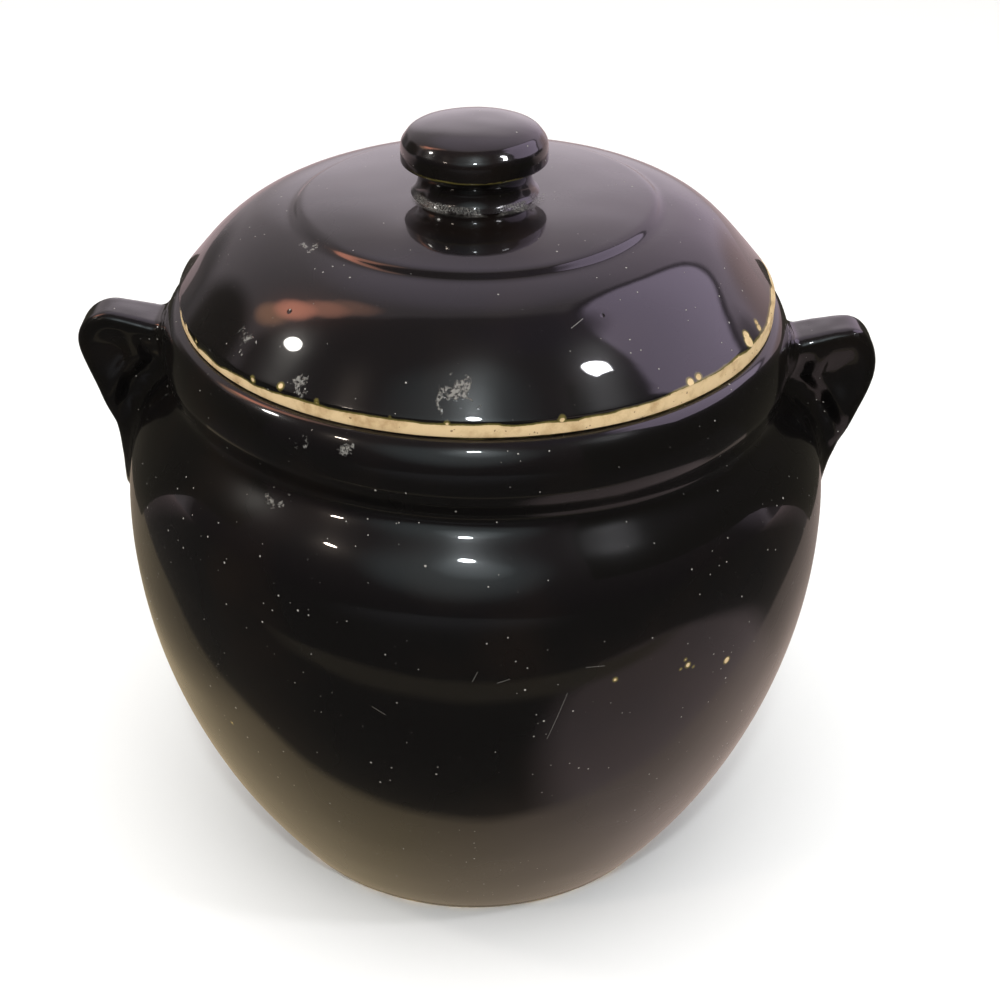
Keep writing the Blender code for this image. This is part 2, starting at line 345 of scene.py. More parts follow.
def lid_knots(sizes):
    """The lid's section from the middle of the raised disc, over the dome and the flange, to the hollow's top."""
    seat = LID_LOW.z / MM + sizes.flange / MM
    radius, band, disc = sizes.radius / MM, seat + sizes.band / MM, sizes.disc / MM
    shelf = band + sizes.dome / MM
    edge = shelf + sizes.step / MM
    top = edge + sizes.crown / MM
    reach = 0.48 * (radius - disc)
    up, down = math.radians(10), math.radians(50)
    hollow = sizes.hollow / MM
    low = seat - sizes.flange / MM
    ceiling = top - sizes.wall / MM
    return [
        ((0, top), (0, 0), (6, 0)),
        ((17.5, top), (-6, 0), (8.7, 0)),
        ((disc - 3.9, edge + 0.15), (-8.7, 1.25), (0.9, -0.14)),
        ((disc - 1.4, shelf + 0.95), (-0.65, 0.65), (0.6, -0.6)),
        ((disc + 1.0, shelf - 0.1), (-0.9, 0.15), (reach * math.cos(up), -reach * math.sin(up))),
        ((radius - 0.05, band + 0.25), (-reach * math.cos(down), reach * math.sin(down)), (0.12, -0.14)),
        ((radius, band - 0.1), (0.1, 0.1), (0, -1)),
        ((radius, seat + 0.4), (0, 1), (0, -0.25)),
        ((radius - 0.4, seat), (0.25, 0), (-1, 0)),
        ((71.3, seat), (1, 0), (-0.3, 0)),
        ((70.8, seat - 0.5), (0, 0.3), (0, -2)),
        ((70.2, low + 1.2), (0, 2), (0, -0.8)),
        ((68.9, low), (0.8, 0), (-0.6, 0)),
        ((67.0, low), (0.6, 0), (-0.8, 0)),
        ((hollow, low + 1.2), (0, -0.8), (0, 3)),
        ((hollow, band), (0, -3), (-0.1 * hollow, 0.95 * (ceiling - band))),
        ((0, ceiling), (0.5 * hollow, 0), (0, 0)),
    ]


def lean(points, sizes):
    """Tips the lid's upper part and its knob down on the left, as the lid warped in the kiln.

    What lies below the fixed height stays level, and the lean is full above the free one.
    """
    fixed, free, pivot = 0.1720, 0.1860, 0.016
    slope = sizes.lean / sizes.radius * smooth_step(points[:, 2], fixed, free)
    moved = points.copy()
    moved[:, 0] -= slope * (points[:, 2] - fixed)
    moved[:, 2] += slope * (points[:, 0] - pivot)
    return moved


class BEANPOT_OT_lid(Operator):
    """Throws the lid: raised disc, dome, bare edge, flange and hollow"""

    bl_idname = "bean_pot.lid"
    bl_label = "Lid"

    def execute(self, context):
        settings = context.scene.bean_pot
        line = draw_section("glazed_lid", lid_knots(settings.lid), spacing=0.9 * MM)
        lid = throw(line, settings.turns)
        roughen(lid, "lid_unevenness", grain=0.024, height=0.00022)
        put_points(lid, lean(points_of(lid), settings.lid))
        lid.data.materials.append(slip_glaze("dark_slip_glaze_lid", settings.finish, lid_bare_line))
        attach(lid, "lid_assembly")
        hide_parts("lid")
        return {"FINISHED"}


def knob_knots(sizes):
    """The knob's section from its crown, round the cap and the stem, to its foot on the lid."""
    # The crown stays a little below the solid's top
    base, top = KNOB_LOW.z / MM, KNOB_HIGH.z / MM - 0.45
    cap, waist, foot = sizes.cap / MM, sizes.waist / MM, sizes.foot / MM
    edge = base + sizes.stem / MM
    return [
        ((0, top), (0, 0), (8.0, 0)),
        ((cap - 2.6, top - 2.1), (-3.0, 1.5), (0.95, -0.55)),
        ((cap - 0.5, top - 4.45), (-0.75, 1.0), (0.4, -0.6)),
        ((cap, edge + 2.6), (0, 0.9), (0, -0.9)),
        ((cap, edge + 0.6), (0, 0.7), (0, -0.3)),
        ((cap - 0.45, edge + 0.1), (0.25, 0.05), (-1.6, -0.1)),
        ((waist, edge - 3.6), (0, 2.6), (0, -1.6)),
        ((foot - 0.4, base + 0.5), (-0.7, 0.8), (0.4, -0.4)),
        ((foot + 0.6, base - 0.5), (-0.4, 0.2), (0, 0)),
        ((0, base - 0.5), (4, 0), (0, 0)),
    ]


class BEANPOT_OT_knob(Operator):
    """Turns the mushroom knob and lutes it to the lid"""

    bl_idname = "bean_pot.knob"
    bl_label = "Knob"

    def execute(self, context):
        settings = context.scene.bean_pot
        line = draw_section("glazed_knob", knob_knots(settings.knob), spacing=0.35 * MM)
        knob = throw(line, KNOB_TURNS)
        roughen(knob, "knob_unevenness", grain=0.012, height=0.00022)
        # It was luted on half a millimetre to the left
        offset = (0.0005, 0, 0)
        put_points(knob, lean(points_of(knob), settings.lid) - offset)
        knob.data.materials.append(slip_glaze("dark_slip_glaze_knob", settings.finish))
        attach(knob, "lid_assembly")
        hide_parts("lid_knob")
        return {"FINISHED"}


def ear_blank(name, sizes, knots):
    """An ear's side view as a filled, thick, round-edged curve, made a mesh and stood upright on +X."""
    clear_selection()
    bpy.ops.curve.primitive_bezier_circle_add(location=(0, 0, 0))
    line = bpy.context.object
    line.name = name
    shape = line.data
    shape.dimensions = "2D"
    shape.fill_mode = "BOTH"
    shape.resolution_u = 16
    shape.bevel_resolution = 6
    set_knots(shape.splines[0], knots, upright=False)
    shape.bevel_depth = sizes.edge
    shape.extrude = sizes.thickness / 2 - sizes.edge
    shape.offset = -sizes.edge
    line.rotation_euler.x = math.pi / 2
    bpy.ops.object.convert(target="MESH")
    bpy.ops.object.transform_apply(location=False, rotation=True, scale=False)
    ear = bpy.context.object
    bpy.ops.object.mode_set(mode="EDIT")
    bpy.ops.mesh.select_all(action="SELECT")
    bpy.ops.mesh.remove_doubles(threshold=WELD)
    bpy.ops.object.mode_set(mode="OBJECT")
    even = ear.modifiers.new("Even faces", "REMESH")
    even.mode = "VOXEL"
    even.voxel_size = 0.00055
    bpy.ops.object.modifier_apply(modifier=even.name)
    # A wet hand rounds the tip more than the root, whose crease stays firm
    tip = ear.vertex_groups.new(name="tip")
    start, run = 0.090, 0.014
    for vertex in ear.data.vertices:
        tip.add([vertex.index], min(max((vertex.co.x - start) / run, 0), 1), "REPLACE")
    for label, rounds, group in (("Relax", 6, ""), ("Round the tip", 40, "tip")):
        relax = ear.modifiers.new(label, "SMOOTH")
        relax.factor = 0.5
        relax.iterations = rounds
        relax.vertex_group = group
        bpy.ops.object.modifier_apply(modifier=relax.name)
    return ear


def free_edge(knots):
    """The ear's outline from the wall, round the top and the tip, down to its tail, in metres."""
    line = []
    for (start, _, leaving), (end, arriving, _) in zip(knots[:-2], knots[1:-1]):
        start, end = Vector((*start, 0)), Vector((*end, 0))
        line += geometry.interpolate_bezier(start, start + Vector((*leaving, 0)), end + Vector((*arriving, 0)), end, 12)
    return np.array([(point.x, point.y) for point in line]) * MM


def hand_noise(places, seed):
    """Smooth noise between -1 and 1 at each place."""
    return np.array([noise.noise(Vector(place) + Vector((0, seed, 0))) for place in places])


def shape_ear(ear, sizes, pot, outline, knots, seed):
    """Thins the ear to its tip, thumbs both faces hollow and smears its root on to the pot's wall."""
    points = points_of(ear)
    # The tips stand this far past the belly
    past_belly = 0.0116
    reach = POT_HIGH.x + past_belly - pot.neck
    out = np.clip((points[:, 0] - pot.neck) / reach, 0, 1)
    points[:, 1] *= 1 + out * (sizes.tip / sizes.thickness - 1)

    # The hollow keeps clear of the top, the tip and the flank, and runs on into the root
    edge = free_edge(knots)
    margin = np.full(len(points), 1e9)
    for a, b in zip(edge[:-1], edge[1:]):
        d = b - a
        share = np.clip(((points[:, [0, 2]] - a) @ d) / max(d @ d, 1e-12), 0, 1)
        gap = points[:, [0, 2]] - (a + share[:, None] * d)
        margin = np.minimum(margin, np.hypot(gap[:, 0], gap[:, 1]))
    dish = smooth_step(margin, 0.0024, 0.0125)

    # Folds in the clay run together towards the tail
    tail = np.array([0.0905, 0.0960])
    turn = np.arctan2(points[:, 0] - tail[0], points[:, 2] - tail[1])
    away = np.hypot(points[:, 0] - tail[0], points[:, 2] - tail[1])
    folds = hand_noise(np.stack([13 * turn, 9 * away, 40 * points[:, 1]], 1), seed)

    # A rib stands up beside the wall, with a rough pocket between them
    depth, way_out = wall_distance(points, outline)
    low = 1 - smooth_step(points[:, 2], 0.1440, 0.1520)
    rib_out, pocket_out, width = 0.0092, 0.0045, 0.0024
    rib = low * np.exp(-(((depth - rib_out) / width) ** 2))
    pocket = low * np.exp(-(((depth - pocket_out) / width) ** 2))
    grit = hand_noise(points * 300, seed)
    rough = 1 - smooth_step(depth, 0.0030, 0.0080)
    face = np.sign(points[:, 1]) * smooth_step(np.abs(points[:, 1]), 0.0015, 0.0045)
    relief = 0.0006 * rib - 0.0007 * pocket - dish * (sizes.dish + 0.0003 * folds)
    points[:, 1] += face * (relief + 0.0003 * rough * grit)
    put_points(ear, points)

    # The root flares into the wall, and nothing of it lies deeper inside than this
    deepest = 0.0022
    normals = np.empty(len(points) * 3)
    ear.data.vertices.foreach_get("normal", normals)
    normals = normals.reshape(-1, 3)
    across = normals - way_out * np.sum(normals * way_out, 1)[:, None]
    across /= np.maximum(np.linalg.norm(across, axis=1), 0.35)[:, None]
    join = sizes.join * (1 + 0.3 * hand_noise(points * 80, seed))
    above = np.clip(depth, 0, join)
    flare = join - np.sqrt(np.maximum(join**2 - (join - above) ** 2, 0))
    points = points + across * flare[:, None]
    depth, way_out = wall_distance(points, outline)
    sunk = np.clip(-deepest - depth, 0, None)
    points = points + way_out * sunk[:, None]
    put_points(ear, points)


def left_ear_knots():
    """The left ear's side view, mirrored on to +X, in mm."""
    return [
        ((73.5, 151.2), (0, 0), (6, 1.4)),
        ((95.5, 156.4), (-6.5, -1.2), (5.5, 0.7)),
        ((105.4, 146.3), (0, 5.8), (0, -5.4)),
        ((97.8, 123.5), (2.2, 6.9), (-1.1, -3.5)),
        ((96.4, 106.0), (0.3, 4.5), (-3, -1)),
        ((73.5, 104.0), (4, 0), (0, 0)),
    ]


def right_ear_knots():
    """The right ear's side view, in mm."""
    return [
        ((73.5, 149.6), (0, 0), (7, 0.4)),
        ((97.5, 154.0), (-6.5, -0.6), (5.2, 0.9)),
        ((106.5, 143.6), (0, 6.2), (0, -5.6)),
        ((99.5, 121.0), (2.6, 7.0), (-1.8, -5.0)),
        ((93.4, 103.0), (1.9, 5.0), (-4, 0)),
        ((73.5, 103.0), (4, 0), (0, 0)),
    ]


class BEANPOT_OT_ears(Operator):
    """Pulls the two lug ears and smears them on to the collar and the shoulder"""

    bl_idname = "bean_pot.ears"
    bl_label = "Ears"

    def execute(self, context):
        settings = context.scene.bean_pot
        line = draw_section("wall_guide", pot_knots(settings.pot)[OUTSIDE], spacing=1.0 * MM)
        outline = outline_of(line)
        bpy.data.objects.remove(line)
        for name, knots, turn, seed in (
            ("glazed_ear_left", left_ear_knots(), math.pi, 3.0),
            ("glazed_ear_right", right_ear_knots(), 0.0, 11.0),
        ):
            ear = ear_blank(name, settings.ear, knots)
            shape_ear(ear, settings.ear, settings.pot, outline, knots, seed)
            roughen(ear, name + "_lumps", grain=0.009, height=0.00025)
            ear.data.transform(Matrix.Rotation(turn, 4, "Z"))
            put_points(ear, tilt_groove(points_of(ear), settings.pot))
            clear_selection()
            ear.select_set(True)
            context.view_layer.objects.active = ear
            bpy.ops.object.shade_smooth()
            ear.data.materials.append(slip_glaze("dark_slip_" + name, settings.finish))
            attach(ear, "pot")
            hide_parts(name.removeprefix("glazed_"))
        return {"FINISHED"}


# Finishes

# Round marks as a centre and a radius, in mm. Where the glaze has worn to a scratchy film of lime
WORN_PLACES = (
    ((-4.9, -72.7, 170.5), 3.0),
    ((-39.6, -64.0, 167.8), 1.0),
    ((-55.0, -48.1, 170.3), 0.4),
    ((-40.6, -25.5, 186.4), 1.2),
    ((-39.4, -71.1, 156.8), 0.3),
    ((-30.0, -75.7, 156.4), 0.7),
    ((-49.4, -66.5, 137.7), 0.2),
    ((-46.4, -68.7, 137.7), 0.2),
)
# Where a knock has left a small bare pit
PITS = (
    ((-62.2, -67.5, 71.1), 0.9),
    ((-61.0, -69.0, 69.8), 0.6),
    ((51.8, -79.5, 99.4), 0.8),
    ((53.4, -78.6, 98.2), 0.4),
    ((51.0, -80.0, 101.4), 0.3),
    ((49.9, -80.7, 99.0), 0.3),
    ((62.6, -71.1, 94.7), 0.6),
    ((33.3, -88.9, 101.9), 0.15),
)
# Hairline scratches from end to end, in mm
SCRATCHES = (
    ((17.4, -92.6, 86.9), (21.9, -92.4, 100.6)),
    ((-0.6, -95.0, 105.6), (0.6, -94.9, 108.4)),
    ((5.2, -94.9, 105.2), (8.2, -94.7, 106.2)),
    ((26.0, -90.9, 107.3), (30.6, -89.5, 106.7)),
    ((21.4, -59.3, 180.1), (24.0, -56.3, 181.2)),
    ((-24.4, -90.6, 95.7), (-20.9, -91.5, 93.6)),
)
# Where a bubble has burst and healed
BLISTERS = (
    ((-44.2, -47.8, 178.3), 0.5),
    ((28.8, -54.5, 180.9), 0.5),
    ((33.4, -52.6, 180.3), 0.3),
)
# Where the glaze is chipped or thin above the lid's bare edge: the angle, the height above the seat and the radius
CHIPS = (
    (-165.0, 2.6, 0.9),
    (-159.2, 2.6, 0.8),
    (-153.0, 2.7, 0.8),
    (-132.8, 3.7, 0.9),
    (-126.3, 4.7, 0.9),
    (-118.3, 3.9, 0.7),
    (-104.7, 4.0, 0.5),
    (-95.0, 3.6, 0.5),
    (-75.5, 3.6, 0.6),
    (-49.4, 4.7, 0.8),
    (-47.2, 5.0, 0.8),
    (-30.0, 5.3, 1.6),
    (-29.6, 6.6, 1.3),
    (-24.0, 5.6, 1.3),
    (-23.7, 6.6, 1.1),
)


def add(tree, kind, *values, out="", **settings):
    """Adds a node with its settings and gives one of its outputs. Each value goes to the next input, None to none."""
    made = tree.nodes.new("ShaderNode" + kind)
    for name, value in settings.items():
        setattr(made, name, value)
    for socket, value in zip([socket for socket in made.inputs if not socket.is_unavailable], values):
        if isinstance(value, bpy.types.NodeSocket):
            tree.links.new(value, socket)
        elif value is not None:
            socket.default_value = (*value, 1) if socket.type == "RGBA" else value
    ready = [socket for socket in made.outputs if not socket.is_unavailable and out in ("", socket.name)]
    return ready[0] if ready else None


def nearest_mark(tree, at, marks):
    """How far a place lies outside the nearest of some round marks, given in mm."""
    gap = None
    for centre, radius in marks:
        away = add(tree, "VectorMath", at, Vector(centre) * MM, operation="DISTANCE")
        away = add(tree, "Math", away, radius * MM, operation="SUBTRACT")
        gap = away if gap is None else add(tree, "Math", gap, away, operation="MINIMUM")
    return gap


def nearest_scratch(tree, at):
    """How far a place lies outside the nearest scratch, each 0.12 mm wide."""
    half_width = 0.00006
    gap = None
    for start, end in SCRATCHES:
        start, end = Vector(start) * MM, Vector(end) * MM
        middle = (start + end) / 2
        side = (end - start).cross(middle.xy.to_3d()).normalized()
        aside = add(tree, "VectorMath", at, side, operation="DOT_PRODUCT", out="Value")
        aside = add(tree, "Math", aside, middle.dot(side), operation="SUBTRACT")
        aside = add(tree, "Math", aside, operation="ABSOLUTE")
        aside = add(tree, "Math", aside, half_width, operation="SUBTRACT")
        along = add(tree, "VectorMath", at, middle, operation="DISTANCE")
        along = add(tree, "Math", along, (end - start).length / 2, operation="SUBTRACT")
        line = add(tree, "Math", aside, along, operation="MAXIMUM")
        gap = line if gap is None else add(tree, "Math", gap, line, operation="MINIMUM")
    return gap


def slip_glaze(name, finish, bare_line=None):
    """Dark iron slip glaze, poured and fired to a glassy, nearly black brown that mirrors the room.

    bare_line adds the nodes that give how far a place lies above the line where the glaze stops.
    """
    made = bpy.data.materials.new(name)
    made.use_nodes = True
    tree = made.node_tree
    shader = tree.nodes["Principled BSDF"]
    # A slip glaze lies near 1.52. Its glassy skin is the coat, and the fine crazing below it gives a faint wide haze
    shader.inputs["IOR"].default_value = 1.5
    shader.inputs["Specular IOR Level"].default_value = 0.14
    shader.inputs["Coat IOR"].default_value = 1.52
    shader.inputs["Coat Roughness"].default_value = 0.035
    # The potter's sponge left fine level lines, which draw that haze out up and down
    shader.inputs["Anisotropic"].default_value = 0.5
    shader.inputs["Anisotropic Rotation"].default_value = 0.25
    lines = add(tree, "Tangent", direction_type="RADIAL", axis="Z")
    tree.links.new(lines, shader.inputs["Tangent"])
    at = add(tree, "TexCoord", out="Object")
    height = add(tree, "SeparateXYZ", at, out="Z")
    flat = add(tree, "VectorMath", at, (1, 1, 0), operation="MULTIPLY")
    radius = add(tree, "VectorMath", flat, operation="LENGTH")

    # The slip lies thicker and thinner in patches about 40 mm wide
    patches = add(tree, "TexNoise", at, 26, 3)
    thin = add(tree, "MapRange", patches, 0.5, 0.8)
    body = add(tree, "Mix", thin, finish.glaze, finish.glaze_thin, data_type="RGBA")

    # Dust and lime: specks 0.1 to 0.6 mm wide in drifts about 20 mm across, two to a square centimetre where thickest
    grains = 430
    cells = add(tree, "TexVoronoi", at, grains)
    chance = add(tree, "TexVoronoi", at, grains, out="Color")
    chance = add(tree, "SeparateColor", chance, out="Red")
    drift = add(tree, "TexNoise", at, 45, 2)
    drift = add(tree, "MapRange", drift, 0.35, 0.60, 0.3, 1.0)
    size = add(tree, "MapRange", chance, 0.0, 0.8, 0.145, 0.01)
    size = add(tree, "Math", size, drift, operation="MULTIPLY")
    specks = add(tree, "Math", size, cells, operation="SUBTRACT")
    specks = add(tree, "MapRange", specks, 0.0, 0.03)
    scratch = add(tree, "MapRange", nearest_scratch(tree, at), 0.00003, -0.00003, 0.0, 0.4)
    specks = add(tree, "Math", specks, scratch, operation="MAXIMUM")

    # Worn places a few millimetres across, in flakes of 0.5 to 1 mm
    shred = add(tree, "TexNoise", at, 300, 3, 0.6)
    worn = nearest_mark(tree, at, WORN_PLACES)
    shift = add(tree, "MapRange", shred, 0.3, 0.7, -0.004, 0.004)
    worn = add(tree, "Math", worn, shift, operation="ADD")
    grit = add(tree, "TexNoise", at, 1400, 3, 0.7)
    film = add(tree, "MapRange", grit, 0.44, 0.56)
    worn = add(tree, "MapRange", worn, 0.0, -0.0012)
    film = add(tree, "Math", worn, film, operation="MULTIPLY")
    dirt = add(tree, "Math", specks, film, operation="MAXIMUM")

    # Lime has settled in patches where the front of the knob's stem meets the lid
    low = add(tree, "MapRange", height, KNOB_LOW.z + 0.0009, KNOB_LOW.z + 0.0003)
    beside = add(tree, "MapRange", radius, 0.0145, 0.0150)
    inside = add(tree, "MapRange", radius, 0.0184, 0.0172)
    patchy = add(tree, "TexNoise", at, 140, 2)
    patchy = add(tree, "MapRange", patchy, 0.38, 0.52)
    front = add(tree, "MapRange", add(tree, "SeparateXYZ", at, out="Y"), -0.003, -0.009)
    crust = add(tree, "TexNoise", at, 2800, 2, 0.7)
    crust = add(tree, "MapRange", crust, 0.44, 0.56)
    for part in (low, beside, inside, patchy, front):
        crust = add(tree, "Math", crust, part, operation="MULTIPLY")
    dirt = add(tree, "Math", dirt, crust, operation="MAXIMUM")
    share = add(tree, "Math", dirt, 0.65, operation="MULTIPLY")
    share = add(tree, "Math", share, specks, operation="MAXIMUM")
    body = add(tree, "Mix", share, body, finish.mineral, data_type="RGBA")

    # The glaze breaks to olive over the sharp lower edge of the knob's cap, a line about 0.5 mm wide
    wavy = add(tree, "MapRange", shred, 0.3, 0.7, -0.0002, 0.0002)
    cap_edge = KNOB_LOW.z + 0.0082
    level = add(tree, "Math", height, wavy, operation="ADD")
    level = add(tree, "Math", level, cap_edge, operation="SUBTRACT")
    level = add(tree, "Math", level, operation="ABSOLUTE")
    level = add(tree, "MapRange", level, 0.00032, 0.00008)
    rim = add(tree, "MapRange", radius, 0.0174, 0.0180)
    outer = add(tree, "MapRange", radius, 0.0196, 0.0192)
    for part in (rim, outer):
        level = add(tree, "Math", level, part, operation="MULTIPLY")
    level = add(tree, "Math", level, 0.35, operation="MULTIPLY")
    body = add(tree, "Mix", level, body, finish.glaze_break, data_type="RGBA")

    # Small pits show the clay, and so do the places the potter wiped bare, up to a ragged line
    bare = nearest_mark(tree, at, PITS)
    if bare_line:
        line = bare_line(tree, at, height, radius)
        bare = add(tree, "Math", bare, line, operation="MINIMUM")
    waves = add(tree, "TexNoise", at, 70, 2)
    waves = add(tree, "MapRange", waves, 0.3, 0.7, -0.0005, 0.0007)
    ragged = add(tree, "MapRange", shred, 0.3, 0.7, -0.00014, 0.00014)
    ragged = add(tree, "Math", waves, ragged, operation="ADD")
    bare = add(tree, "Math", bare, ragged, operation="ADD")
    halo = add(tree, "MapRange", bare, 0.0006, 0.0001, 0.0, 0.6)
    body = add(tree, "Mix", halo, body, finish.glaze_break, data_type="RGBA")
    bare = add(tree, "MapRange", bare, 0.00006, -0.00006)
    stains = add(tree, "TexNoise", at, 150, 5, 0.65)
    stains = add(tree, "MapRange", stains, 0.46, 0.74)
    clay = add(tree, "Mix", stains, finish.clay, finish.clay_dark, data_type="RGBA")
    iron = add(tree, "TexNoise", at, 900, 1)
    iron = add(tree, "MapRange", iron, 0.72, 0.76, 0.0, 0.7)
    clay = add(tree, "Mix", iron, clay, finish.iron, data_type="RGBA")
    body = add(tree, "Mix", bare, body, clay, data_type="RGBA")

    # Clay and lime are matt, and glaze has a skin that they lack
    rough = add(tree, "MapRange", patches, 0.3, 0.7, 0.24, 0.32)
    matt = add(tree, "Math", bare, dirt, operation="MAXIMUM")
    dull = add(tree, "Math", matt, 0.85, operation="MULTIPLY")
    rough = add(tree, "Math", rough, dull, operation="MAXIMUM")
    skin = add(tree, "Math", 1.0, matt, operation="SUBTRACT")

    # The skin is finely rippled and has healed blisters, lime stands up a little, and bare clay is sandy and lies lower
    ripple = add(tree, "TexNoise", at, 330, 1)
    ripple = add(tree, "Math", ripple, 0.05, operation="MULTIPLY")
    lime = add(tree, "Math", dirt, 0.4, operation="MULTIPLY")
    sand = add(tree, "MapRange", grit, 0.3, 0.7, -1.2, -0.9)
    sand = add(tree, "Math", sand, bare, operation="MULTIPLY")
    hole = add(tree, "MapRange", nearest_mark(tree, at, BLISTERS), 0.0002, -0.0003, 0.0, -0.8)
    relief = add(tree, "Math", ripple, lime, operation="ADD")
    for part in (sand, hole):
        relief = add(tree, "Math", relief, part, operation="ADD")
    relief = add(tree, "Bump", 0.6, 0.00025, None, relief)
    tree.links.new(body, shader.inputs["Base Color"])
    tree.links.new(rough, shader.inputs["Roughness"])
    tree.links.new(skin, shader.inputs["Coat Weight"])
    tree.links.new(relief, shader.inputs["Normal"])
    tree.links.new(relief, shader.inputs["Coat Normal"])
    return made


def lid_bare_line(tree, at, height, radius):
    """The lid is bare on its edge, its seat and its flange, and where chips run up from the edge."""
    sizes = bpy.context.scene.bean_pot.lid
    seat, full_band = (LID_LOW.z + sizes.flange) / MM, sizes.band / MM
    worn_band, edge, slope = 2.0, 76.9, 0.8
    marks = []
    for turn, rise, size in CHIPS:
        # The dome slopes inwards above the bare edge
        reach = edge - slope * max(rise - full_band, 0)
        turn = math.radians(turn)
        marks.append(((reach * math.cos(turn), reach * math.sin(turn), seat + rise), size))
    # The bare band is narrower on the left and in the middle, and it climbs at the far right
    across = add(tree, "SeparateXYZ", at, out="X")
    ends = (seat + full_band) * MM, (seat + worn_band) * MM
    band = add(tree, "MapRange", across, -0.026, -0.062, *ends)
    dip = add(tree, "Math", across, 0.010, operation="SUBTRACT")
    dip = add(tree, "Math", dip, operation="ABSOLUTE")
    dip = add(tree, "MapRange", dip, 0.0, 0.045, -0.0015, 0.0)
    rise = add(tree, "MapRange", across, 0.066, 0.074, 0.0, 0.0014)
    for part in (dip, rise):
        band = add(tree, "Math", band, part, operation="ADD")
    above = add(tree, "Math", height, band, operation="SUBTRACT")
    inside_flange = 0.0664
    hollow = add(tree, "Math", inside_flange, radius, operation="SUBTRACT")
    line = add(tree, "Math", above, hollow, operation="MAXIMUM")
    return add(tree, "Math", line, nearest_mark(tree, at, marks), operation="MINIMUM")


def pot_bare_line(tree, at, height, radius):
    """The pot is bare on its foot, and on the rim where the lid sits."""
    foot_line, rim_line, ring, half_ring = 0.0006, RIM - 0.0007, 0.0741, 0.0021
    foot = add(tree, "Math", height, foot_line, operation="SUBTRACT")
    below = add(tree, "Math", rim_line, height, operation="SUBTRACT")
    seat = add(tree, "Math", radius, ring, operation="SUBTRACT")
    seat = add(tree, "Math", seat, operation="ABSOLUTE")
    seat = add(tree, "Math", seat, half_ring, operation="SUBTRACT")
    seat = add(tree, "Math", seat, below, operation="MAXIMUM")
    return add(tree, "Math", foot, seat, operation="MINIMUM")


# Soft bright areas in the room's mirror image, each over the last: the way to it, the angles at which it starts to fade
# and ends, and its colour
SOFT_AREAS = (
    ((0.0, 0.60, 0.80), 5, 25, (0.72, 0.62, 0.74)),
    ((0.05, 1.0, 0.25), 3, 24, (1.20, 1.06, 1.16)),
    ((0.85, 0.80, 0.42), 15, 45, (0.95, 0.78, 0.95)),
    ((0.65, 0.76, -0.05), 6, 20, (0.62, 0.45, 0.46)),
    ((-0.88, 0.48, 0.22), 10, 20, (0.07, 0.06, 0.05)),
    ((-0.60, 0.80, -0.10), 8, 20, (0.12, 0.11, 0.11)),
    ((0.71, 0.23, 0.67), 27, 30, (0.10, 0.08, 0.09)),
    ((0.71, 0.23, 0.67), 24, 27, (1.75, 1.45, 1.95)),
    ((0.88, 0.42, 0.03), 11, 15, (0.12, 0.10, 0.11)),
    ((0.25, -0.10, 0.96), 5, 22, (0.16, 0.13, 0.17)),
    ((-0.42, 0.30, 0.85), 0, 8, (1.6, 0.9, 0.7)),
    ((-0.75, 0.30, 0.60), 0, 8, (2.2, 1.2, 0.8)),
    ((-0.53, 0.28, 0.80), 0, 8, (3.0, 1.4, 1.0)),
    ((-0.65, 0.29, 0.70), 0, 8, (5.5, 2.2, 1.5)),
    ((-0.10, -0.80, 0.58), 0, 32, (0.48, 0.55, 0.57)),
    ((0.0, -0.74, 0.67), 0, 13, (1.0, 1.15, 1.2)),
)


def studio_paper(name, finish):
    """Matt white studio paper, which shows only soft shadows."""
    made = bpy.data.materials.new(name)
    made.use_nodes = True
    shader = made.node_tree.nodes["Principled BSDF"]
    shader.inputs["Base Color"].default_value = (*finish.floor, 1)
    shader.inputs["Roughness"].default_value = 0.9
    shader.inputs["Specular IOR Level"].default_value = 0.1
    return made


def lamp(name, place, aim, size, power, tint, roll=0, glossy=True):
    """A soft lamp that the camera doesn't see."""
    data = bpy.data.lights.new(name, "AREA")
    data.shape = "ELLIPSE"
    data.size, data.size_y = size
    data.energy = power
    data.color = tint
    thing = bpy.data.objects.new(name, data)
    thing.location = place
    turn = (Vector(aim) - Vector(place)).to_track_quat("-Z", "Y")
    thing.rotation_euler = (turn @ Quaternion((0, 0, 1), math.radians(roll))).to_euler()
    thing.visible_camera = False
    thing.visible_glossy = glossy
    bpy.context.scene.collection.objects.link(thing)


def soft_room():
    """A dim room for the pot's mirror, with soft bright areas, and even white light for all else."""
    world = bpy.data.worlds.new("soft_room")
    world.use_nodes = True
    tree = world.node_tree
    way = add(tree, "TexCoord", out="Generated")
    mirror = add(tree, "MapRange", add(tree, "SeparateXYZ", way, out="Z"), 0.0, 0.9, 0.06, 0.16)
    mirror = add(tree, "Mix", 1.0, mirror, (1.0, 0.82, 0.85), data_type="RGBA", blend_type="MULTIPLY")
    behind = add(tree, "MapRange", add(tree, "SeparateXYZ", way, out="Y"), 0.14, 0.22)
    mirror = add(tree, "Mix", behind, mirror, (0.46, 0.40, 0.42), data_type="RGBA")
    for aim, inner, outer, tint in SOFT_AREAS:
        near = add(tree, "VectorMath", way, Vector(aim).normalized(), operation="DOT_PRODUCT")
        ends = math.cos(math.radians(outer)), math.cos(math.radians(inner))
        near = add(tree, "MapRange", near, *ends, interpolation_type="SMOOTHSTEP")
        mirror = add(tree, "Mix", near, mirror, tint, data_type="RGBA")
    seen = add(tree, "LightPath", out="Is Glossy Ray")
    seen = add(tree, "Mix", seen, (0.8, 0.8, 0.8), mirror, data_type="RGBA")
    direct = add(tree, "LightPath", out="Is Camera Ray")
    seen = add(tree, "Mix", direct, seen, (0.88, 0.88, 0.88), data_type="RGBA")
    tree.links.new(seen, tree.nodes["Background"].inputs["Color"])
    bpy.context.scene.world = world


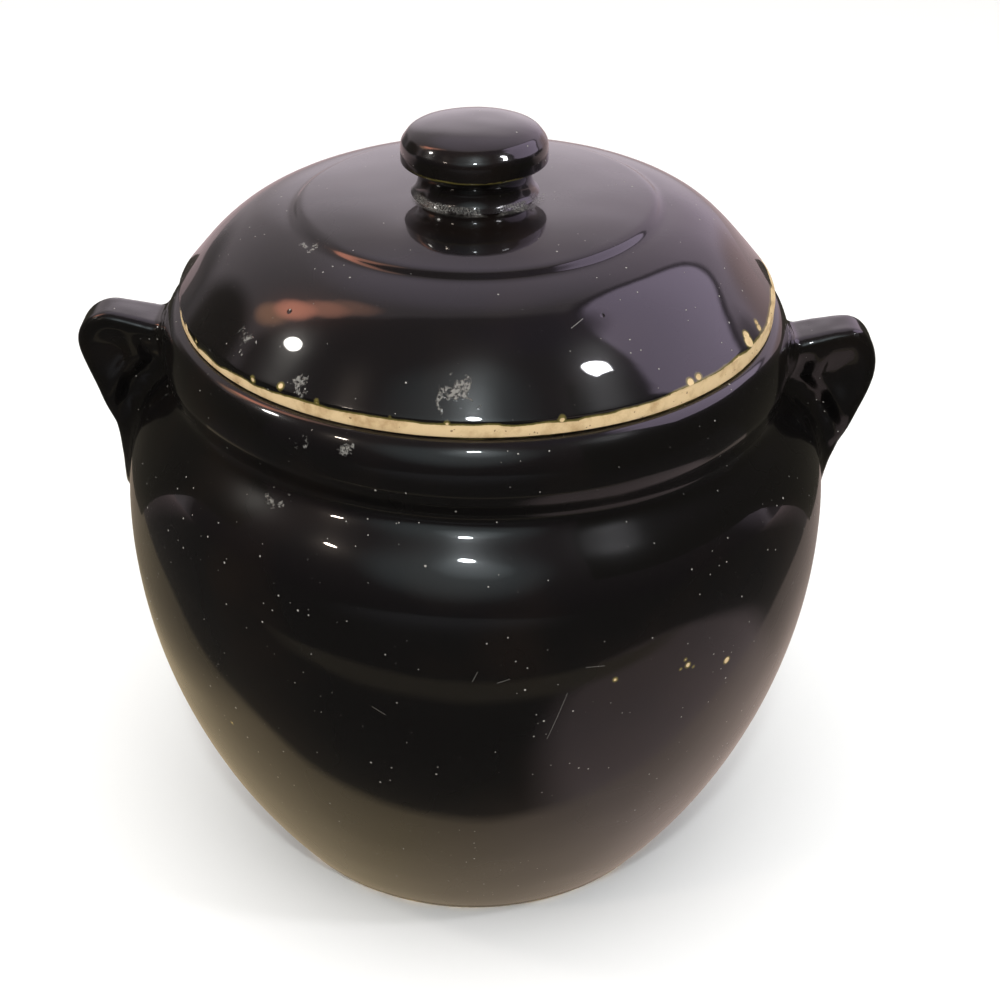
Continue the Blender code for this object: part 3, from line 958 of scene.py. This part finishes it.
def mirror_card(card, glow):
    """Makes a piece of the stage a glowing card that shows only in the pot's mirror, as a painted reflection."""
    card.visible_camera = False
    card.visible_diffuse = False
    card.visible_shadow = False
    card.visible_transmission = False
    made = bpy.data.materials.new(card.name)
    made.use_nodes = True
    tree = made.node_tree
    tree.nodes.clear()
    light = add(tree, "Emission", glow(tree) if callable(glow) else glow)
    add(tree, "OutputMaterial", light)
    card.data.materials.append(made)


def painted_table_reflection(tree):
    """A painted reflection of a pale round table whose front edge is just before the pot, with the pot's painted
    shadow, and a dim floor before it.
    """
    at = add(tree, "TexCoord", out="Object")
    table_middle = (0, 0.157, 0)
    away = add(tree, "VectorMath", at, table_middle, operation="DISTANCE")
    lit = add(tree, "MapRange", away, 0.265, 0.257)
    radius = add(tree, "VectorMath", at, operation="LENGTH")
    # Painted shadow of the pot round its foot, and painted light that fades away from the pot and out to each side
    shade = add(tree, "MapRange", radius, 0.056, 0.090, 0.7, 1.1)
    far = add(tree, "MapRange", radius, 0.12, 0.19, 1.0, 0.6)
    across = add(tree, "SeparateXYZ", at, out="X")
    right = add(tree, "MapRange", across, 0.06, 0.20, 1.0, 0.8)
    left = add(tree, "MapRange", across, -0.12, -0.16, 1.0, 0.6)
    for part in (shade, far, right, left):
        lit = add(tree, "Math", lit, part, operation="MULTIPLY")
    # The painted reflection of the floor is paler behind, some way off in front, beside the pot's right, and in a strip
    # along the table's front
    behind = add(tree, "MapRange", add(tree, "SeparateXYZ", at, out="Y"), 0.1, 0.4)
    floor = add(tree, "Mix", behind, (0.06, 0.055, 0.05), (0.55, 0.42, 0.43), data_type="RGBA")
    front = add(tree, "VectorMath", at, (-0.15, -1.3, 0), operation="DISTANCE")
    front = add(tree, "MapRange", front, 0.9, 0.3, interpolation_type="SMOOTHSTEP")
    floor = add(tree, "Mix", front, floor, (0.17, 0.17, 0.18), data_type="RGBA")
    beside = add(tree, "VectorMath", at, (0.15, -0.11, 0), operation="DISTANCE")
    beside = add(tree, "MapRange", beside, 0.13, 0.09, interpolation_type="SMOOTHSTEP")
    floor = add(tree, "Mix", beside, floor, (0.40, 0.32, 0.32), data_type="RGBA")
    strip = add(tree, "Math", away, 0.392, operation="SUBTRACT")
    strip = add(tree, "Math", strip, operation="ABSOLUTE")
    strip = add(tree, "MapRange", strip, 0.024, 0.010)
    ahead = add(tree, "MapRange", add(tree, "SeparateXYZ", at, out="Y"), -0.15, -0.19)
    strip = add(tree, "Math", strip, ahead, operation="MULTIPLY")
    floor = add(tree, "Mix", strip, floor, (0.22, 0.19, 0.14), data_type="RGBA")
    rosy = add(tree, "MapRange", across, -0.03, 0.06)
    table = add(tree, "Mix", rosy, (0.45, 0.36, 0.23), (0.47, 0.375, 0.33), data_type="RGBA")
    return add(tree, "Mix", lit, floor, table, data_type="RGBA")


def dark_screen():
    """A black screen round the pot, open in front and lower at the back, that shows only as a painted dark reflection.

    It leaves the bright room behind to the lid's mirror, and keeps it out of the collar's.
    """
    bpy.ops.mesh.primitive_cylinder_add(
        vertices=96, radius=0.122, depth=0.117, end_fill_type="NOTHING", location=(0, 0, 0.1465)
    )
    screen = bpy.context.object
    screen.name = "dark_screen"
    bpy.ops.object.mode_set(mode="EDIT")
    bpy.ops.mesh.select_all(action="SELECT")
    bpy.ops.mesh.bisect(plane_co=(0, -0.1, 0), plane_no=(-0.25, -0.97, 0), clear_outer=True)
    bpy.ops.object.mode_set(mode="OBJECT")
    for vertex in screen.data.vertices:
        place = vertex.co
        if place.z > 0:
            # Its front end on the right stays at full height and leans in
            tall = np.interp(place.y, (-0.095, -0.075), (1, 0)) if place.x > 0 else 0
            drop = np.interp(place.y, (-0.075, -0.015, 0.020, 0.070, 0.090), (0.012, 0.020, 0.048, 0.048, 0.090))
            place.z -= (1 - tall) * drop
            place.xy *= 1 - 0.18 * tall
        else:
            place.z += np.interp(place.y, (-0.05, 0), (0.052, 0))
    mirror_card(screen, (0.05, 0.045, 0.035))


class BEANPOT_OT_stage(Operator):
    """Sets the camera, the paper floor and the lamps"""

    bl_idname = "bean_pot.stage"
    bl_label = "Stage"

    def execute(self, context):
        scene = context.scene
        clear_selection()
        bpy.ops.mesh.primitive_plane_add(size=8, location=(0, 0, -0.0002))
        floor = context.object
        floor.name = "studio_floor"
        floor.data.materials.append(studio_paper("studio_paper", scene.bean_pot.finish))
        floor.visible_glossy = False
        bpy.ops.mesh.primitive_plane_add(size=4, location=(0, 0, -0.0001))
        context.object.name = "table_mirror"
        mirror_card(context.object, painted_table_reflection)
        dark_screen()

        # The photograph was taken from a little above, close by, tipped by less than a degree
        place, swing, pitch, tip = (0, -0.4310, 0.3625), -0.889, -31.607, 0.863
        camera = bpy.data.objects.new("camera", bpy.data.cameras.new("camera"))
        camera.data.lens = 64.8
        camera.data.sensor_width = 36
        camera.data.clip_start = 0.01
        camera.matrix_world = (
            Matrix.Translation(place)
            @ Matrix.Rotation(math.radians(swing), 4, "Z")
            @ Matrix.Rotation(math.radians(90 + pitch), 4, "X")
            @ Matrix.Rotation(math.radians(tip), 4, "Z")
        )
        scene.collection.objects.link(camera)
        scene.camera = camera

        soft_room()
        middle = (0, 0, 0.12)
        lamp("fill", (0, -0.3, 1.6), middle, (1.6, 1.6), 14, (1, 1, 1), glossy=False)
        lamp("left_lamp", (-0.98, -0.04, 0.92), middle, (0.135, 0.135), 2.0, (1, 0.96, 0.9))
        lamp("right_lamp", (0.72, -0.48, 1.06), middle, (0.22, 0.08), 2.6, (0.95, 0.95, 1), roll=-40)
        lamp("front_lamp", (-0.01, -0.75, 0.935), middle, (0.08, 0.05), 2.6, (0.90, 0.97, 1))
        lamp("side_lamp", (-0.67, -0.56, 0.78), middle, (0.08, 0.03), 0.8, (1, 0.85, 0.72))
        scene.view_settings.view_transform = "Standard"
        return {"FINISHED"}


class BEANPOT_PT_sidebar(Panel):
    """Lists the steps and the sizes of the bean pot"""

    bl_idname = "BEANPOT_PT_sidebar"
    bl_label = "Bean Pot"
    bl_space_type = "VIEW_3D"
    bl_region_type = "UI"
    bl_category = "Bean Pot"

    def draw(self, context):
        settings = context.scene.bean_pot
        for step in STEPS:
            self.layout.operator(step.bl_idname)
        self.layout.prop(settings, "turns")
        for group in (settings.pot, settings.lid, settings.knob, settings.ear, settings.finish):
            box = self.layout.box()
            for name in group.__annotations__:
                box.prop(group, name)


STEPS = (BEANPOT_OT_pot, BEANPOT_OT_ears, BEANPOT_OT_lid, BEANPOT_OT_knob, BEANPOT_OT_stage)
GROUPS = (PotSizes, LidSizes, KnobSizes, EarSizes, Finish, BeanPotSettings)


def register():
    for made in (*GROUPS, *STEPS, BEANPOT_PT_sidebar):
        bpy.utils.register_class(made)
    bpy.types.Scene.bean_pot = PointerProperty(type=BeanPotSettings)


def unregister():
    del bpy.types.Scene.bean_pot
    for made in (BEANPOT_PT_sidebar, *reversed(STEPS), *reversed(GROUPS)):
        bpy.utils.unregister_class(made)


def main():
    register()
    bpy.ops.bean_pot.pot()
    bpy.ops.bean_pot.ears()
    bpy.ops.bean_pot.lid()
    bpy.ops.bean_pot.knob()
    bpy.ops.bean_pot.stage()


if __name__ == "__main__":
    main()
